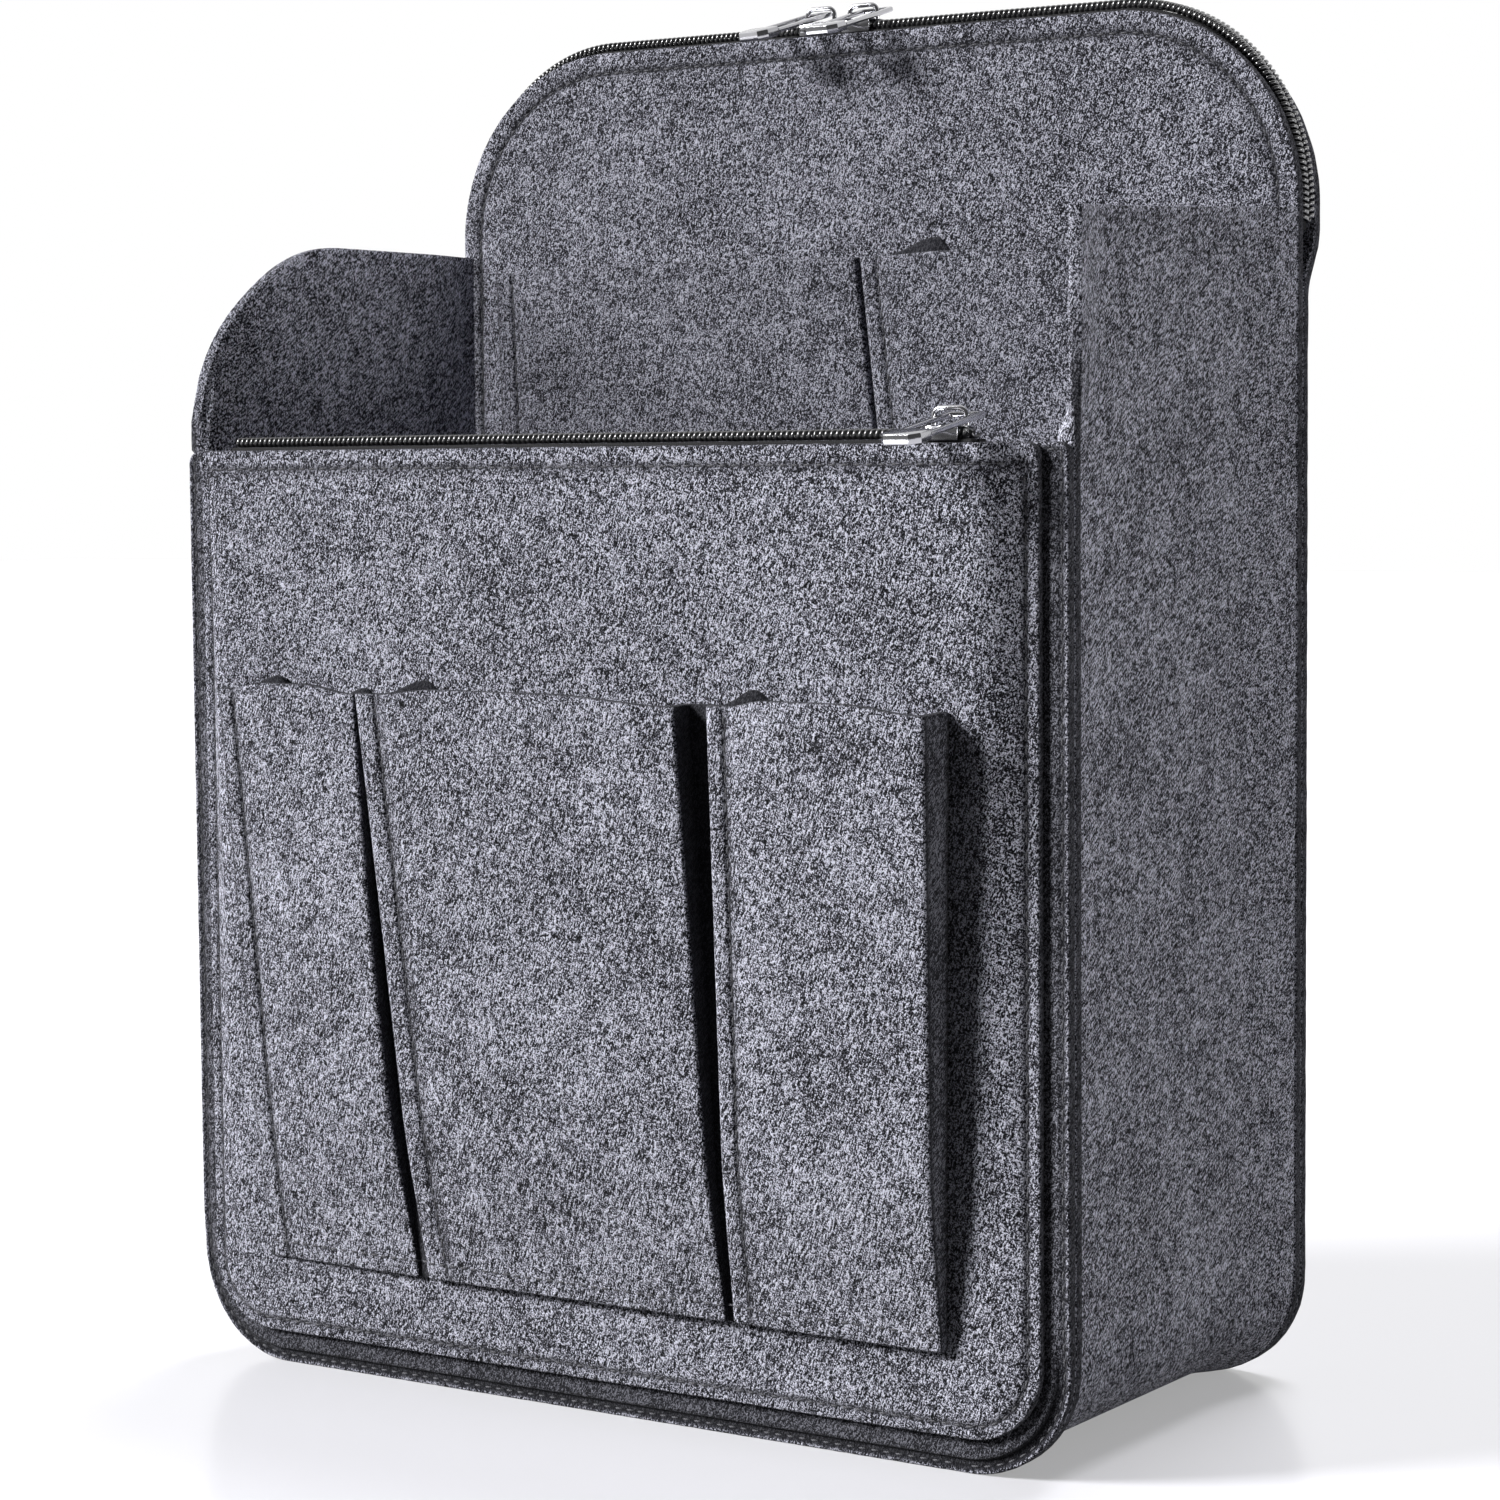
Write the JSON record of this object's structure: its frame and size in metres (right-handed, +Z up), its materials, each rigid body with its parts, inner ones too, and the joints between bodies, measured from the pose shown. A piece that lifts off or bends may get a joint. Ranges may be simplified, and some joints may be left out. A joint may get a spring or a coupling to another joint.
{
  "type": "backpack organizer insert",
  "caption": "Tall felt backpack insert: an open-topped box with an arched zip sleeve at the back, a zip pocket and pleated slip pockets in front, and slip pockets inside.",
  "frame": {"origin": "on the surface it stands on, under the middle of the whole part's box", "axes": "+X to the right and +Y to the back, seen from the zip pocket's side; +Z up"},
  "size_m": [0.2528, 0.1516, 0.338],
  "materials": {
    "felt": "heather charcoal-grey needle felt, matte and fibrous",
    "zip_tape": "black woven polyester tape, matte",
    "zip_coil": "black nylon monofilament, satin to glossy",
    "plated_metal": "bright nickel plating, polished"
  },
  "bodies": {
    "organizer_body": {"rear_panel": "felt", "inner_back_panel": "felt", "side_gusset": "felt", "front_wall": "felt", "zip_pocket_panel": "felt", "front_pocket_strip": "felt", "inner_pocket_strip": "felt", "back_tape_front": "zip_tape", "back_tape_rear": "zip_tape", "pocket_tape_front": "zip_tape", "pocket_tape_rear": "zip_tape", "back_coil_front": "zip_coil", "back_coil_rear": "zip_coil", "pocket_coil_front": "zip_coil", "pocket_coil_rear": "zip_coil"},
    "back_left_slider": {"back_left_slider": "plated_metal"},
    "back_left_pull": {"back_left_pull": "plated_metal"},
    "back_right_slider": {"back_right_slider": "plated_metal"},
    "back_right_pull": {"back_right_pull": "plated_metal"},
    "pocket_slider": {"pocket_slider": "plated_metal"},
    "pocket_pull": {"pocket_pull": "plated_metal"}
  },
  "joints": [
    {"name": "back_left_slide", "type": "slide", "parent": "organizer_body", "child": "back_left_slider", "axis": [1, 0, 0], "range_m": [-0.055, 0]},
    {"name": "back_right_slide", "type": "slide", "parent": "organizer_body", "child": "back_right_slider", "axis": [1, 0, 0], "range_m": [0, 0.06]},
    {"name": "pocket_slide", "type": "slide", "parent": "organizer_body", "child": "pocket_slider", "axis": [1, 0, 0], "range_m": [-0.19, 0]},
    {"name": "back_left_pull_hinge", "type": "hinge", "parent": "back_left_slider", "child": "back_left_pull", "pos_m": [-0.0149, 0.06964, 0.3355], "axis": [-0.9781, 0.2079, 0], "range_deg": [0, 38]},
    {"name": "back_right_pull_hinge", "type": "hinge", "parent": "back_right_slider", "child": "back_right_pull", "pos_m": [0.0025, 0.06964, 0.3355], "axis": [-0.9976, 0.0698, 0], "range_deg": [0, 38]},
    {"name": "pocket_pull_hinge", "type": "hinge", "parent": "pocket_slider", "child": "pocket_pull", "pos_m": [0.0994, -0.05176, 0.2315], "axis": [-0.9976, 0.0698, 0], "range_deg": [0, 34]}
  ]
}
